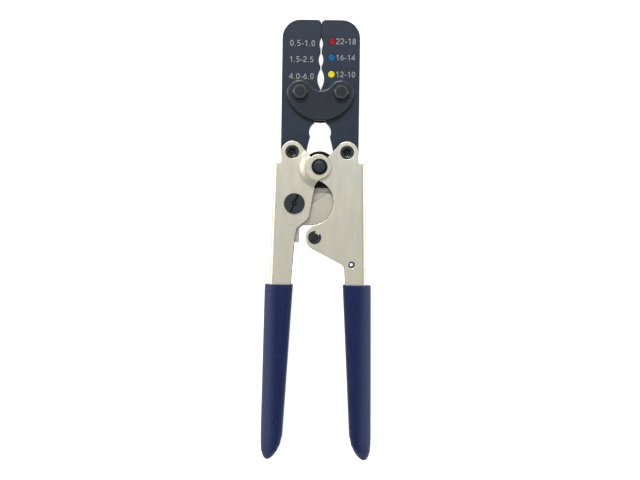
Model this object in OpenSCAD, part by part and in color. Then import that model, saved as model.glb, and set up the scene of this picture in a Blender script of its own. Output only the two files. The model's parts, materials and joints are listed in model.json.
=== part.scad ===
// Compound-action ratchet crimping tool, lying on its back and shown fully closed.
// +X is to the right across the tool, +Y runs from the grips to the jaw tips, +Z is up through the
// thickness. Every module is drawn about the centre pivot, with Z = 0 at mid-thickness, and place()
// moves the whole tool so that the origin is at the bottom centre of its bounding box.

/* [Jaws] */
// Width of one jaw, from the parting line to its outer edge
jaw_w = 23.3; // [22:0.05:24]
// Height of the jaw tips above the centre pivot
jaw_top = 88.4; // [86:0.1:90]
// Thickness of a jaw
jaw_t = 8; // [7.6:0.1:8]
// Gap between the closed dies
die_gap = 0.3; // [0.2:0.05:0.5]
// Radius of the outer jaw corners
jaw_corner_r = 11; // [6:0.5:12]
// Half distance between the two jaw bolts
bolt_x = 12.27; // [12:0.01:12.5]
// Height of the jaw bolts above the centre pivot
bolt_y = 44.5; // [44:0.1:45]

/* [Link plates] */
// Thickness of a link plate
link_t = 3; // [2.5:0.1:3.2]
// Radius of the lobe round each bolt
lobe_r = 7.9; // [7.5:0.1:8.2]
// Height of the centre of the hollow between the lobes
dip_y = 53.4; // [53:0.1:54]
// Height of the bottom of the link plates
link_bottom = 27.6; // [27.2:0.1:28.5]

/* [Handles] */
// Thickness of the handle sheet
sheet_t = 2; // [1.8:0.1:2]
// Half distance between the two jaw tail pins
pin_x = 16.4; // [16.2:0.05:16.5]
// Height of the jaw tail pins above the centre pivot
pin_y = 8.85; // [8.7:0.05:9]
// Outer radius of the lug round a tail pin
lug_r = 6.65; // [6.4:0.05:6.8]
// Outer bend radius of the channel
bend_r = 3; // [2.5:0.1:3.2]
// Flare of a handle's outer edge, in degrees
flare = 1.3; // [1:0.1:1.5]
// Radius of the raised ear on the left handle
ear_r = 7.5; // [7.3:0.1:7.7]

/* [Grips] */
// Where a grip starts below the centre pivot
grip_top = 70.5; // [69:0.5:72]
// How far the grip tips lie below the centre pivot
grip_end = 176.1; // [174:0.1:178]
// Thickness of a grip through the tool
grip_depth = 17.6; // [17:0.1:18]

/* [Ratchet] */
// Number of teeth on the sector
teeth = 14; // [12:1:14]
// Radius of the tooth tips about the centre pivot
tooth_tip_r = 37.2; // [37:0.1:37.3]
// Depth of a tooth
tooth_depth = 1.9; // [1.5:0.1:2]
// Thickness of one plate of the sector
plate_t = 2.3; // [2:0.1:2.3]
// How far the pawl leans from the line of centres, in degrees
pawl_lean = 42; // [41:1:46]

/* [Fasteners] */
// Jaw bolt thread diameter
bolt_d = 5; // [5:0.1:5.2]
// Width across the flats of the jaw bolts and nuts
hex_af = 8; // [8:0.1:8.5]
// Diameter of the centre pin
centre_d = 8; // [7.8:0.1:8]
// Diameter of the jaw tail pins
tail_d = 7.7; // [7.4:0.1:7.8]
// Diameter of the adjuster's slotted head
adjuster_d = 12.4; // [12:0.1:12.6]

/* [Hidden] */
$fn = 72;

// Clearances and heights through the thickness.
gap = 0.1;              // side play beside the jaws
run = 0.05;             // radial clearance of a turning fit
seat = 0.02;            // radial clearance of a fixed fit
jaw_z = jaw_t / 2;
link_z = jaw_z + gap;                  // inner face of a link plate
flange_z = jaw_z + 2 * gap;            // inner face of a handle flange
channel_z = flange_z + sheet_t;        // outer face of a handle flange
ear_lift = sheet_t + 2 * gap;          // how far the ear is raised over the flange
ear_z = channel_z + ear_lift;          // outer face of the ear
nut_h = 2.7;
head_h = 3.6;
frame_z = link_z + link_t + nut_h;     // the nuts touch the surface that the tool lies on
frame_y = (grip_end - jaw_top) / 2;

// Dies: [height of the middle, half height, depth] of each crimp nest, from the tip down.
nests = [[74.4, 3.5, 0.7], [64.9, 4.4, 1.1], [53.4, 6.2, 1.7]];
waist = 0.15;           // extra relief between the nests
throat_y = 21.3;        // round gap between the jaw tails
throat_r = 6.6;

// Centre pivot and the joggle that raises the ear.
hub_r = 7.2;
joggle_in = 8;
joggle_out = 12.8;
ear_bore_r = centre_d / 2 + 0.5;       // loose, because the linkage is opened at this pivot

// Channel: outer edge at height y, on the right handle.
shoulder_y = 2.2;
web_top_x = 27.6;
handle_end = grip_end - 14;
function web_x(y) = web_top_x + (shoulder_y - y) * tan(flare);
inner_top = [14.5, -44];               // inner edge of the handle, at the top and at its end
inner_end = [23, -handle_end];

// Ratchet places.
pawl_at = [-2.3, -42.2];
adjuster_at = [-14.7, -22.1];
anchor_at = [20, -58.3];
boss_at = [0.1, -42.3];
boss_r = 7.7;
window_at = [-5, -21.2];             // round window in the front of the right handle
window_r = 13.7;
nose_l = 6.9;                          // pawl pivot to the end of its nose
tail_l = 5.2;                          // pawl pivot to its spring hole
tail_turn = 122.7;                     // angle from the nose round to the tail
anchor_r = 1.85;
anchor_bore_r = 1.05;

// ---- Plane geometry -------------------------------------------------------------------------

function unit(v) = v / norm(v);
function polar(r, a) = r * [cos(a), sin(a)];

// Points along an arc about c, from angle a0 to a1.
function arc(c, r, a0, a1, step = 6) =
    let (n = ceil(abs(a1 - a0) / step)) [for (i = [0:n]) c + polar(r, a0 + (a1 - a0) * i / n)];

// One corner c between p and q, rounded with radius r.
function corner(p, c, q, r) = r <= 0 ? [c] :
    let (u = unit(p - c), v = unit(q - c), half = acos(u * v) / 2,
         m = c + unit(u + v) * r / sin(half), a = c + u * r / tan(half) - m,
         a0 = atan2(a.y, a.x), turn = cross(c - p, q - c) > 0 ? 1 : -1)
    arc(m, r, a0, a0 + turn * (180 - 2 * half));

function mirrored(points) = [for (p = points) [-p.x, p.y]];

// The same sheet at the front and at the rear.
module both_faces() {
    children();
    mirror([0, 0, 1]) children();
}

module slab(z0, z1) {
    translate([0, 0, z0]) linear_extrude(z1 - z0) children();
}

module drill(at, r, depth = 60) {
    translate([at.x, at.y, -depth / 2]) cylinder(r = r, h = depth);
}

module ring(r_out, r_in, z0, z1) {
    translate([0, 0, z0]) difference() {
        cylinder(r = r_out, h = z1 - z0);
        translate([0, 0, -1]) cylinder(r = r_in, h = z1 - z0 + 2);
    }
}

// An E-clip lying in the plane, open towards angle open_a.
module e_clip(r_out, r_in, t, open_a) {
    rotate([0, 0, open_a]) linear_extrude(t) difference() {
        circle(r = r_out);
        circle(r = r_in);
        translate([0, -r_in * 0.85]) square([r_out + 1, r_in * 1.7]);
        for (side = [-1, 1]) rotate([0, 0, side * 112]) translate([(r_in + r_out) / 2 - 0.35, 0])
            circle(r = (r_out - r_in) * 0.42);
    }
}

// ---- Head -----------------------------------------------------------------------------------

function nest_arc(n) = let (r = (n[1] * n[1] + n[2] * n[2]) / (2 * n[2]), a = asin(n[1] / r))
    arc([die_gap / 2 + waist + n[2] - r, n[0]], r, a, -a, 5);

// Right jaw, seen from the front: dies, relief under the link plates, throat, tail and outer edge.
jaw_points = concat(
    corner([jaw_w, jaw_top], [die_gap / 2, jaw_top], [die_gap / 2, 0], 2.6),
    [[die_gap / 2, nests[0][0] + nests[0][1] + 1]],
    [for (n = nests) each nest_arc(n)],
    [[3.3, throat_y + sqrt(throat_r * throat_r - 3.3 * 3.3)]],
    arc([0, throat_y], throat_r, 55, -24),
    corner([6, 18.6], [9.9, pin_y - lug_r], [pin_x, pin_y - lug_r], 5.5),
    corner([pin_x, pin_y - lug_r], [jaw_w, pin_y - lug_r], [jaw_w, 50], lug_r - 0.05),
    corner([jaw_w, 50], [jaw_w, jaw_top], [0, jaw_top], jaw_corner_r)
);

module jaw_blank(points) {
    difference() {
        slab(-jaw_z, jaw_z) polygon(points);
        for (side = [-1, 1]) {
            drill([side * bolt_x, bolt_y], sleeve_r + run);
            drill([side * pin_x, pin_y], tail_d / 2 + run);
        }
    }
}
sleeve_r = 4;

// Enamelled dimples beside the nests: [height, colour].
dot_x = 6.3;
dot_r = 2;
dot_depth = 0.5;
dots = [[75.6, "red"], [65.9, "dodgerblue"], [55.8, "gold"]];

module left_jaw() {
    color("#2c3138") jaw_blank(mirrored(jaw_points));
}

module right_jaw() {
    color("#2c3138") difference() {
        jaw_blank(jaw_points);
        for (d = dots) translate([dot_x, d[0], jaw_z - dot_depth]) cylinder(r = dot_r, h = 1);
    }
}

module size_dot(i) {
    color(dots[i][1]) translate([dot_x, dots[i][0], jaw_z - dot_depth])
        cylinder(r = dot_r - seat, h = dot_depth - 0.1);
}

// Two lobes, the hollow between them, and the big lower arc, each tangent to the next.
big_r = let (d = bolt_y - link_bottom)
    (bolt_x * bolt_x + d * d - lobe_r * lobe_r) / (2 * (d - lobe_r));
big_y = link_bottom + big_r;
dip_r = norm([bolt_x, dip_y - bolt_y]) - lobe_r;
low_a = atan2(bolt_y - big_y, bolt_x);
dip_a = atan2(dip_y - bolt_y, -bolt_x);
link_points = concat(
    arc([0, big_y], big_r, -180 - low_a, low_a, 4),
    arc([bolt_x, bolt_y], lobe_r, low_a, dip_a),
    arc([0, dip_y], dip_r, dip_a - 180, -dip_a),
    arc([-bolt_x, bolt_y], lobe_r, 180 - dip_a, 180 - low_a)
);

module link_plate() {
    color("#262a30") difference() {
        slab(link_z, link_z + link_t) polygon(link_points);
        for (side = [-1, 1]) drill([side * bolt_x, bolt_y], bolt_d / 2 + seat);
    }
}

module jaw_bolt(side) {
    color("#23262b") translate([side * bolt_x, bolt_y, 0]) {
        difference() {
            translate([0, 0, link_z + link_t]) intersection() {
                cylinder(d = hex_af / cos(30), h = head_h, $fn = 6);
                translate([0, 0, head_h - 5.4]) cylinder(r1 = 9, r2 = hex_af / 2 - 0.1, h = 5.4);
            }
            translate([0, 0, link_z + link_t + head_h - 0.3]) cylinder(r = 2.2, h = 1);
        }
        translate([0, 0, -frame_z + 0.3])
            cylinder(r = bolt_d / 2, h = frame_z - 0.3 + link_z + link_t);
    }
}

module jaw_nut(side) {
    color("#23262b") translate([side * bolt_x, bolt_y, -frame_z]) difference() {
        cylinder(d = hex_af / cos(30), h = nut_h, $fn = 6);
        translate([0, 0, -1]) cylinder(r = bolt_d / 2 + seat, h = nut_h + 2);
    }
}

module jaw_sleeve(side) {
    color("silver") translate([side * bolt_x, bolt_y, 0])
        ring(sleeve_r, bolt_d / 2 + seat, -link_z, link_z);
}

// ---- Handles --------------------------------------------------------------------------------

lug_a = 50;                            // direction of the edge from a lug towards the centre pivot
lug_arc = arc([pin_x, pin_y], lug_r, 0, 90 + lug_a);

right_rear_edge = [
    [-0.9, -9.2], [-2.4, -12], [-2.8, -14.6], [-3.9, -20.3], [-4.75, -25.6], [-5.2, -29], [-4, -34.9]
];
boss_arc = arc(boss_at, boss_r, 123, 244);
slant = [[-3.28, -49.22], [15.8, -59]];   // slanted edge below the boss
right_lower = concat(boss_arc, corner(slant[0], slant[1], inner_end, 5),
    corner(slant[1], inner_end, [web_x(inner_end.y), inner_end.y], 2.5));
right_outer = concat(
    corner(inner_end, [web_x(inner_end.y), inner_end.y], [web_x(shoulder_y), shoulder_y], 4),
    [[web_x(shoulder_y), shoulder_y]],
    corner([web_x(shoulder_y), shoulder_y], [pin_x + lug_r, shoulder_y], [pin_x + lug_r, pin_y], 2.2),
    lug_arc, arc([0, 0], hub_r, lug_a, 268)
);
right_rear_points = concat(right_outer, right_rear_edge, right_lower);

// Left handle, drawn on its own side: ear, lug, shoulder, outer edge, end, and the edge beside the
// ratchet back up to the ear.
left_web_top = [-web_x(shoulder_y), shoulder_y];
left_web_end = [-web_x(inner_end.y), inner_end.y];
left_edge = [[-inner_end.x, inner_end.y], [-inner_top.x, inner_top.y], [-13.4, -37.1], [-6.2, -31.2],
    [-2.9, -12.3]];
left_neck = [[-2.9, -12.3], [-2.65, -11.6], [-2.3, -10.8], [-1.8, -9.95], [-1.15, -9.15], [-0.45, -8.5],
    [0.2, -7.95]];
ear_at = [-0.4, 0];                    // the ear is a little off the centre pin, within its clearance
left_points = concat(
    arc(ear_at, ear_r, -76, 180 - lug_a),
    arc([-pin_x, pin_y], lug_r, 90 - lug_a, 180),
    corner([-pin_x - lug_r, pin_y], [-pin_x - lug_r, shoulder_y], left_web_top, 2.2), [left_web_top],
    corner(left_web_top, left_web_end, left_edge[0], 4), corner(left_web_end, left_edge[0], left_edge[1], 2.5),
    [for (k = [[1, 8], [2, 4], [3, 5.5]])
        each corner(left_edge[k[0] - 1], left_edge[k[0]], left_edge[k[0] + 1], k[1])], left_neck
);

// A section swept along the flared outer edge of the right handle; its x runs outward from there.
module along_web() {
    translate([web_x(0), 0, 0]) rotate([0, 0, flare]) rotate([90, 0, 0])
        translate([0, 0, -40]) linear_extrude(handle_end + 60) children();
}

// Rectangle open_w wide and 2 z high, rounded with radius r at its right side, which is inset.
module channel_box(open_w, z, r, inset) {
    translate([-open_w, -z]) square([open_w - inset - r, 2 * z]);
    translate([-inset - r - 0.01, -z + r]) square([r + 0.01, 2 * (z - r)]);
    for (side = [-1, 1]) translate([-inset - r, side * (z - r)]) circle(r = r);
}

// What lies above the left handle's sheet: outside the ear, over the ramp and the flange.
module over_ear() {
    rotate_extrude() polygon([
        [joggle_in, ear_z], [joggle_out, channel_z], [300, channel_z], [300, 20], [joggle_in, 20]
    ]);
}

// What lies under the ear and its ramp, down into the channel.
module under_ear() {
    run_out = joggle_out + (joggle_out - joggle_in) / 2;
    rotate_extrude() polygon([
        [0, 0], [run_out, 0], [run_out, flange_z - ear_lift / 2], [joggle_in, ear_z - sheet_t],
        [0, ear_z - sheet_t]
    ]);
}

module left_handle() {
    color("#c4c0b0") difference() {
        slab(-ear_z, ear_z) polygon(left_points);
        both_faces() over_ear();
        mirror([1, 0, 0]) along_web() difference() {
            translate([-bend_r, -20]) square(40);
            channel_box(60, channel_z, bend_r, 0);
        }
        mirror([1, 0, 0]) along_web() channel_box(60, flange_z, bend_r - sheet_t, sheet_t);
        both_faces() under_ear();
        drill([0, 0], ear_bore_r);
        drill([-pin_x, pin_y], tail_d / 2 + seat);
        drill(adjuster_at, adjuster_shank_r + run);
    }
}

module right_handle() {
    color("#c4c0b0") difference() {
        intersection() {
            slab(-channel_z, channel_z) polygon(right_rear_points);
            along_web() difference() {
                channel_box(60, channel_z, bend_r, 0);
                channel_box(60, flange_z, bend_r - sheet_t, sheet_t);
            }
        }
        translate([window_at.x, window_at.y, 0]) cylinder(r = window_r, h = 20);
        drill([0, 0], centre_d / 2 + seat);
        drill([pin_x, pin_y], tail_d / 2 + seat);
        drill(pawl_at, pawl_pin_r + seat);
        drill(anchor_at, anchor_r + seat);
    }
}

// Soft sleeve over a handle: sections [y, inner x, outer x, half depth, corner radius] blended down
// to a round tip, less the room for the channel.
grip_slices = [
    [-grip_top, 15, 31.9, grip_depth / 2, 6], [-grip_end + 15, 20.1, 33.15, grip_depth / 2 - 0.3, 5.8],
    [-grip_end + 9.6, 21.3, 33.05, grip_depth / 2 - 0.9, 5.4],
    [-grip_end + 5.6, 23.2, 32.8, grip_depth / 2 - 2.5, 4.4]
];
grip_tip_r = 4.1;
module grip() {
    difference() {
        hull() {
            for (g = grip_slices, x = [g[1] + g[4], g[2] - g[4]], s = [-1, 1])
                translate([x, g[0], s * (g[3] - g[4])]) rotate([90, 0, 0])
                    cylinder(r = g[4], h = 0.3, $fn = 32);
            for (s = [-1, 1]) translate([29, -grip_end + grip_tip_r, s * 0.8])
                sphere(r = grip_tip_r, $fn = 32);
        }
        translate([0, 0, -channel_z - seat]) linear_extrude(2 * (channel_z + seat)) polygon([
            [inner_x(0) - seat, 0], [inner_end.x - seat, inner_end.y - seat],
            [web_x(inner_end.y) + seat, inner_end.y - seat], [web_x(0) + seat, 0]
        ]);
    }
}
function inner_x(y) = inner_top.x + (inner_top.y - y) * (inner_end.x - inner_top.x)
    / (inner_top.y - inner_end.y);

module left_grip() {
    color("#26376b") mirror([1, 0, 0]) grip();
}

module right_grip() {
    color("#26376b") grip();
}

// Pin through the lugs and the jaw tail, with a staked hollow in each end.
module tail_pin(side) {
    color("#3a3f3a") translate([side * pin_x, pin_y, 0]) difference() {
        union() {
            cylinder(d = tail_d, h = 2 * channel_z, center = true);
            both_faces() translate([0, 0, channel_z])
                cylinder(r1 = tail_d / 2, r2 = tail_d / 2 - 0.35, h = 0.35);
        }
        both_faces() translate([0, 0, channel_z - 0.7]) cylinder(r1 = 1.6, r2 = 2.4, h = 1.2);
    }
}

// Headed pin through both handles, held at the front by a snap ring.
ring_z = ear_z + 0.1;
ring_t = 0.8;
groove_r = 3.55;
module center_pin() {
    color("#2a2d36") difference() {
        union() {
            translate([0, 0, -ear_z - 0.1]) cylinder(d = centre_d, h = 2 * ear_z + 1.7);
            translate([0, 0, -ear_z - 1.2]) cylinder(r1 = 5, r2 = 5.4, h = 1.1);
        }
        ring(6, groove_r, ring_z, ring_z + ring_t + 0.05);
    }
}

module center_ring() {
    color("#1d1f24") translate([0, 0, ring_z]) linear_extrude(ring_t) difference() {
        circle(r = 4.7);
        circle(r = groove_r + seat);
        rotate([0, 0, 25]) translate([0, -1.2]) square([6, 2.4]);
    }
}

// Black spacer between the flanges at the centre pivot, with a flat foot.
foot_w = 14;
foot_y = -12.1;
module hub_spacer() {
    color("#17181a") difference() {
        slab(-link_z, link_z) union() {
            circle(r = 9.6);
            translate([-foot_w / 2, foot_y]) square([foot_w, -foot_y]);
        }
        drill([0, 0], centre_d / 2 + seat);
    }
}

// ---- Ratchet --------------------------------------------------------------------------------

adjuster_shank_r = 3;
eccentric = 0.4;
pawl_pin_r = 2.2;
sector_start = -92;                    // first tooth, at the closed end
pitch = 3;
root_r = tooth_tip_r - tooth_depth;
dwell_r = 35;                          // plain arc that faces the pawl at the closed end
sector_x = function (y) -(web_x(y) - sheet_t - 0.2);
sector_arc = concat(
    arc([0, 0], dwell_r, -97.4, sector_start, 4),
    [for (i = [0:teeth - 1]) each [
        polar(root_r, sector_start + pitch * i + 0.15),
        polar(tooth_tip_r, sector_start + pitch * (i + 0.45)),
        polar(tooth_tip_r, sector_start + pitch * (i + 0.55)),
        polar(root_r, sector_start + pitch * (i + 1) - 0.15)
    ]]
);
sector_leg = concat([[sector_x(-45.2), -45.2], [-11.9, -45.2]],
    corner([-11.9, -45.2], [-11.9, -34.95], [-4.6, -34.7], 3.4));
sector_far = corner(polar(root_r, -50), [22.6, -18], [12, -15.2], 3);

module sector_plate(top, z0) {
    color("#b9b7ab") difference() {
        slab(z0, z0 + plate_t) polygon(concat(sector_leg, sector_arc, sector_far, top));
        drill(adjuster_at, adjuster_shank_r + eccentric + run);
    }
}

module ratchet_sector() {
    sector_plate(concat([[4.6, -15.3], [-6.5, -23.4]],
        corner([-6.5, -23.4], [-9.6, -15.6], [-20, -15.6], 2), [[sector_x(-15.6), -15.6]]), 0.02);
}

module sector_backing() {
    sector_plate([[6, -14.7], [sector_x(-14.7), -14.7]], -plate_t - 0.02);
}

// Slotted adjuster: a wide head, a round shank in the flanges and an offset length in the sector.
adjuster_slot_a = 68;
module adjuster() {
    color("#2b2f38") translate([adjuster_at.x, adjuster_at.y, 0]) difference() {
        union() {
            translate([0, 0, channel_z + 0.05]) cylinder(d = adjuster_d, h = 0.9);
            translate([0, 0, channel_z + 0.95])
                cylinder(d1 = adjuster_d, d2 = adjuster_d - 1, h = 0.35);
            translate([0, 0, -channel_z - 1.6])
                cylinder(r = adjuster_shank_r, h = 2 * channel_z + 1.7);
        }
        translate([0, 0, channel_z + 0.7]) rotate([0, 0, adjuster_slot_a])
            translate([-8, -0.45, 0]) cube([16, 0.9, 2]);
        translate([0, 0, channel_z - 0.6]) cylinder(r = 0.9, h = 3);
        ring(4, 2.4, -channel_z - 1.1, -channel_z - 0.25);
        eccentric_relief();
    }
}

// What the offset length of the shank loses on one side, between the sector plates' outer faces.
module eccentric_relief() {
    difference() {
        cylinder(r = 5, h = 2 * plate_t + 0.2, center = true);
        translate([-eccentric, 0, 0])
            cylinder(r = adjuster_shank_r, h = 2 * plate_t + 1, center = true);
    }
}

module adjuster_clip() {
    color("#1d1f24") translate([adjuster_at.x, adjuster_at.y, -channel_z - 1.05])
        e_clip(4.9, 2.45, 0.75, 120);
}

module adjuster_washers() {
    color("silver") translate([adjuster_at.x, adjuster_at.y, 0])
        both_faces() ring(5, adjuster_shank_r + run, plate_t + 0.1, flange_z - 0.05);
}

// Pawl: nose towards the sector, tail arm with the spring hole.
line_a = atan2(-pawl_at.y, -pawl_at.x);     // from the pawl pivot to the centre pivot
nose_a = line_a - pawl_lean;
tail_a = nose_a - tail_turn;
pawl_tail = pawl_at + polar(tail_l, tail_a);
pawl_z = 2;
pawl_hub_r = 3.6;
pawl_points = concat(
    [[nose_l, -0.25], [nose_l, 0.25]],
    arc([0, 0], pawl_hub_r, 48, 205),
    arc(polar(tail_l, -tail_turn), 1.9, 270 - tail_turn, 450 - tail_turn),
    arc([0, 0], pawl_hub_r, 275, 312)
);
module pawl() {
    color("#8b8a84") difference() {
        slab(-pawl_z, pawl_z) translate(pawl_at) rotate([0, 0, nose_a]) polygon(pawl_points);
        drill(pawl_at, pawl_pin_r + run);
        drill(pawl_tail, 0.8);
    }
}

module pawl_pin() {
    color("#23262b") translate([pawl_at.x, pawl_at.y, 0]) difference() {
        union() {
            translate([0, 0, -channel_z - 0.1]) cylinder(r = pawl_pin_r, h = 2 * channel_z + 1.5);
            translate([0, 0, -channel_z - 1.2]) cylinder(r1 = 3, r2 = 3.4, h = 1.15);
        }
        ring(4, 1.6, channel_z + 0.1, channel_z + 0.9);
    }
}

module pawl_clip() {
    color("#1d1f24") translate([pawl_at.x, pawl_at.y, channel_z + 0.12])
        e_clip(3.9, 1.65, 0.75, 58);
}

module pawl_spacers() {
    color("silver") translate([pawl_at.x, pawl_at.y, 0])
        both_faces() ring(3.4, pawl_pin_r + seat, pawl_z + run, flange_z - run);
}

module spring_anchor() {
    color("#3a3d42") translate([anchor_at.x, anchor_at.y, 0]) difference() {
        ring(anchor_r, anchor_bore_r, -channel_z, channel_z);
        translate([0.5, -0.2, -20]) cube([3, 0.4, 40]);
    }
}

// Extension spring from the pawl's tail to the anchor: a hook, the coil and a loop, as one wire.
wire_r = 0.3;
coil_r = 1.55;
coils = 13;
loop_r = 2.3;                          // round the anchor
spring_v = anchor_at - pawl_tail;
spring_l = norm(spring_v);
coil_start = 3;
coil_end = spring_l - loop_r - 1.9;
function spring_point(t) = let (a = t * coils * 360)
    [coil_start + (coil_end - coil_start) * t, coil_r * sin(a), coil_r * cos(a)];
spring_path = concat(
    [[0.55, 0, -1.6], [0.3, 0, -0.9], [0, 0, 0], [0.3, 0, 1.9], [1.4, 0, 2.45], [2.3, -0.2, 2.1]],
    [for (i = [0:coils * 12]) spring_point(i / (coils * 12))],
    [[coil_end + 0.7, 0.5, 1.2], [spring_l - loop_r - 0.1, 0.3, 0.4]],
    [for (a = [172:-26:-140]) [spring_l + loop_r * cos(a), loop_r * sin(a), 0]]
);
wire_sides = 6;

// Rings of points round the path, each square to it, joined into one closed tube.
module tube(path, r, sides) {
    n = len(path);
    function ahead(i) = unit(path[min(i + 1, n - 1)] - path[max(i - 1, 0)]);
    function across(d) = unit(cross(d, abs(d.z) < 0.8 ? [0, 0, 1] : [0, 1, 0]));
    rings = [for (i = [0:n - 1]) let (d = ahead(i), u = across(d), v = cross(d, u))
        for (k = [0:sides - 1]) path[i] + r * (cos(360 * k / sides) * u + sin(360 * k / sides) * v)];
    skin = [for (i = [0:n - 2], k = [0:sides - 1])
        let (a = i * sides + k, b = i * sides + (k + 1) % sides) each
            [[a, b, b + sides], [a, b + sides, a + sides]]];
    polyhedron(rings, concat([[for (k = [sides - 1:-1:0]) k]], skin,
        [[for (k = [0:sides - 1]) (n - 1) * sides + k]]));
}

module pawl_spring() {
    color("silver") translate([pawl_tail.x, pawl_tail.y, 0])
        rotate([0, 0, atan2(spring_v.y, spring_v.x)]) tube(spring_path, wire_r, wire_sides);
}

// ---- Assembly -------------------------------------------------------------------------------

module place(name) {
    translate([0, frame_y, frame_z]) children();
}

place("link_plate_front") link_plate();
place("link_plate_rear") mirror([0, 0, 1]) link_plate();
place("jaw_bolt_left") jaw_bolt(-1);
place("jaw_bolt_right") jaw_bolt(1);
place("jaw_nut_left") jaw_nut(-1);
place("jaw_nut_right") jaw_nut(1);
place("jaw_sleeve_left") jaw_sleeve(-1);
place("jaw_sleeve_right") jaw_sleeve(1);
place("left_jaw") left_jaw();
place("right_jaw") right_jaw();
place("size_dot_red") size_dot(0);
place("size_dot_blue") size_dot(1);
place("size_dot_yellow") size_dot(2);
place("left_handle") left_handle();
place("right_handle") right_handle();
place("left_grip") left_grip();
place("right_grip") right_grip();
place("left_tail_pin") tail_pin(-1);
place("right_tail_pin") tail_pin(1);
place("center_pin") center_pin();
place("center_ring") center_ring();
place("hub_spacer") hub_spacer();
place("ratchet_sector") ratchet_sector();
place("sector_backing") sector_backing();
place("adjuster") adjuster();
place("adjuster_clip") adjuster_clip();
place("adjuster_washers") adjuster_washers();
place("pawl") pawl();
place("pawl_pin") pawl_pin();
place("pawl_clip") pawl_clip();
place("pawl_spacers") pawl_spacers();
place("pawl_spring") pawl_spring();
place("spring_anchor") spring_anchor();
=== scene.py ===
"""Looks for the ratchet crimping tool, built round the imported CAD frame.

Lengths are in mm about the centre pivot, unless a name or a comment says otherwise.
"""
import json
import math

import bmesh
import bpy
import numpy as np
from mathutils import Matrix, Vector
from mathutils.geometry import delaunay_2d_cdt


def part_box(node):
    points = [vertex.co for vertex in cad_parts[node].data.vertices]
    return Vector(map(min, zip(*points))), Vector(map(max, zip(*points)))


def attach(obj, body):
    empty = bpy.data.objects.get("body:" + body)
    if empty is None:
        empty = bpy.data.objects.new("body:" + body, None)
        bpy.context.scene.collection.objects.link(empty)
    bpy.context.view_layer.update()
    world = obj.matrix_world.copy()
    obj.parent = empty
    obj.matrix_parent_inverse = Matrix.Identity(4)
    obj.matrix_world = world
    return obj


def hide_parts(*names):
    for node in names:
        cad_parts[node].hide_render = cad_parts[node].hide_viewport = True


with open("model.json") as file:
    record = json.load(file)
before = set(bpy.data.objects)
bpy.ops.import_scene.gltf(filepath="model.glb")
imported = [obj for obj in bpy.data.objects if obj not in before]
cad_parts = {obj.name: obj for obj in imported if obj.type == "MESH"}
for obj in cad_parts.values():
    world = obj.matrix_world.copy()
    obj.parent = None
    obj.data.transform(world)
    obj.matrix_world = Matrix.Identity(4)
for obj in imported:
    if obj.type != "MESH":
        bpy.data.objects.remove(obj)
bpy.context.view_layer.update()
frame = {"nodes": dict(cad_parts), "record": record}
MM = 0.001
RECORD = frame["record"]
BODY = {n: b for b, ns in RECORD["behaviour"]["bodies"].items() for n in ns}


def middle(node):
    """The middle of a node's box, in metres in the shared frame."""
    lo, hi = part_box(node)
    return (Vector(lo) + Vector(hi)) / 2


# The centre pivot is the origin of every outline, and the middle of the jaws is z = 0.
CX, CY = middle("center_pin").x / MM, middle("center_pin").y / MM
CZ = middle("left_jaw").z / MM


def place(node):
    """x, y of a node's middle."""
    m = middle(node)
    return np.array([m.x / MM - CX, m.y / MM - CY])


def corners(node):
    """The low and the high corner of a node's box."""
    return [np.array(v) / MM - [CX, CY, CZ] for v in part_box(node)]


def z_span(node):
    """The low and the high z of a node's box."""
    lo, hi = corners(node)
    return lo[2], hi[2]


PIN_R, PIN_L = place("right_tail_pin"), place("left_tail_pin")
BOLT_R, BOLT_L = place("jaw_bolt_right"), place("jaw_bolt_left")
PAWL = place("pawl_pin")
ADJUSTER = place("adjuster")
ANCHOR = place("spring_anchor")
JAW_W, JAW_TOP = corners("right_jaw")[1][:2]
JAW_Z = z_span("left_jaw")[1]  # the jaws' front face
CHANNEL_Z = z_span("right_handle")[1]  # outer face of the handles' channels
EAR_Z = z_span("left_handle")[1]  # outer face of the left handle's raised ears
HANDLE_END = -corners("right_handle")[0][1]
LINK_LO, LINK_HI = z_span("link_plate_front")
LINK_BOTTOM = corners("link_plate_front")[0][1]

# ---- Plane geometry ----


def polar(r, a):
    return np.array([r * math.cos(math.radians(a)), r * math.sin(math.radians(a))])


def arc(c, r, a0, a1, step=5.0):
    """Points from angle a0 to a1, in degrees, on a circle."""
    n = max(1, math.ceil(abs(a1 - a0) / step))
    return [np.array(c, float) + polar(r, a0 + (a1 - a0) * i / n) for i in range(n + 1)]


def circle(c, r, n=48, turn=0.0):
    return [np.array(c, float) + polar(r, 360 * i / n + turn) for i in range(n)]


def unit(v):
    return v / np.linalg.norm(v)


def corner(p, c, q, r, step=8.0):
    """The fillet of radius r at corner c of the path p, c, q."""
    p, c, q = (np.array(v[:2], float) for v in (p, c, q))
    u, v = unit(p - c), unit(q - c)
    half = math.acos(np.clip(u @ v, -1, 1)) / 2
    m = c + unit(u + v) * r / math.sin(half)
    a = c + u * r / math.tan(half) - m
    a0 = math.degrees(math.atan2(a[1], a[0]))
    cross = (c - p)[0] * (q - c)[1] - (c - p)[1] * (q - c)[0]
    sweep = (180 - 2 * math.degrees(half)) * (1 if cross > 0 else -1)
    return arc(m, r, a0, a0 + sweep, step)


def area(loop):
    p = np.array(loop)
    q = np.roll(p, -1, 0)
    return (p[:, 0] * q[:, 1] - q[:, 0] * p[:, 1]).sum() / 2


def tidy_loop(loop, turn, gap=0.02):
    """Points closer than gap are joined, and the loop runs anticlockwise for turn 1."""
    out = []
    for p in loop:
        if not out or np.linalg.norm(p - out[-1]) > gap:
            out.append(np.array(p, float))
    while np.linalg.norm(out[0] - out[-1]) <= gap:
        out.pop()
    return np.array(out if area(out) * turn > 0 else out[::-1])


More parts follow.
